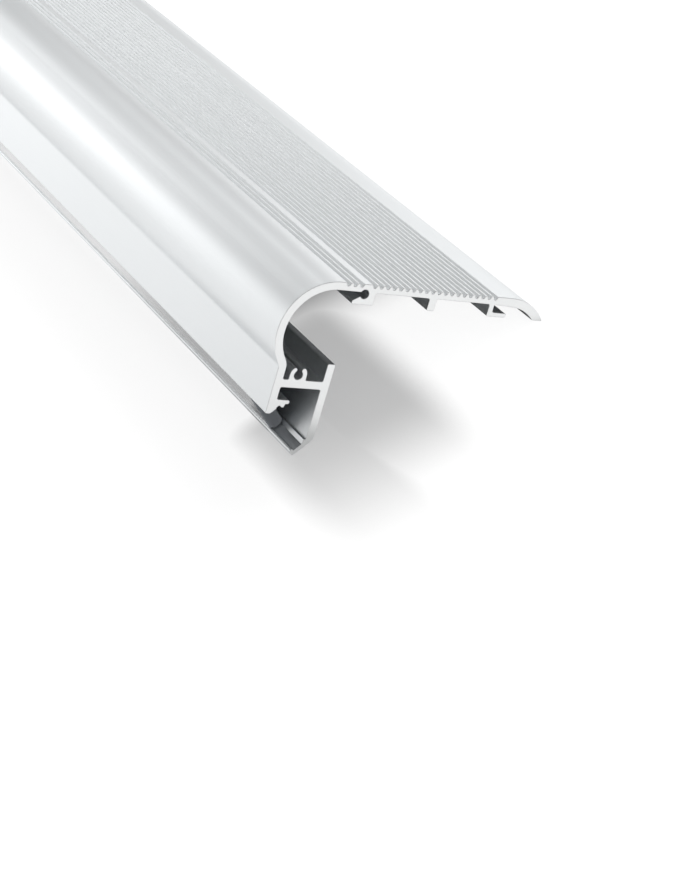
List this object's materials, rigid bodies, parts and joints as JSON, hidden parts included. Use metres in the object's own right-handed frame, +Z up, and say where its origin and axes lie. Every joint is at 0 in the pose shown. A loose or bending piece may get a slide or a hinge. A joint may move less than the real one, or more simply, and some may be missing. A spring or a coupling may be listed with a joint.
{
  "type": "stair nosing",
  "caption": "Aluminium stair nosing with a rounded front, a ribbed tread and a sloping channel for an LED strip, closed by a clip-in milky cover.",
  "frame": {"origin": "middle of the bounding box's bottom face, on the floor that the profile lies on", "axes": "+X across the profile from the bullnose to the tail, +Y along its length, +Z up, with the profile lying on its lip and its tail"},
  "size_m": [0.0712, 1, 0.0383],
  "materials": {
    "anodised_aluminium": "satin anodised",
    "milky_plastic": "translucent, smooth from the die"
  },
  "bodies": {
    "root": {"nosing_profile": "anodised_aluminium", "diffuser_cover": "milky_plastic"}
  },
  "joints": []
}
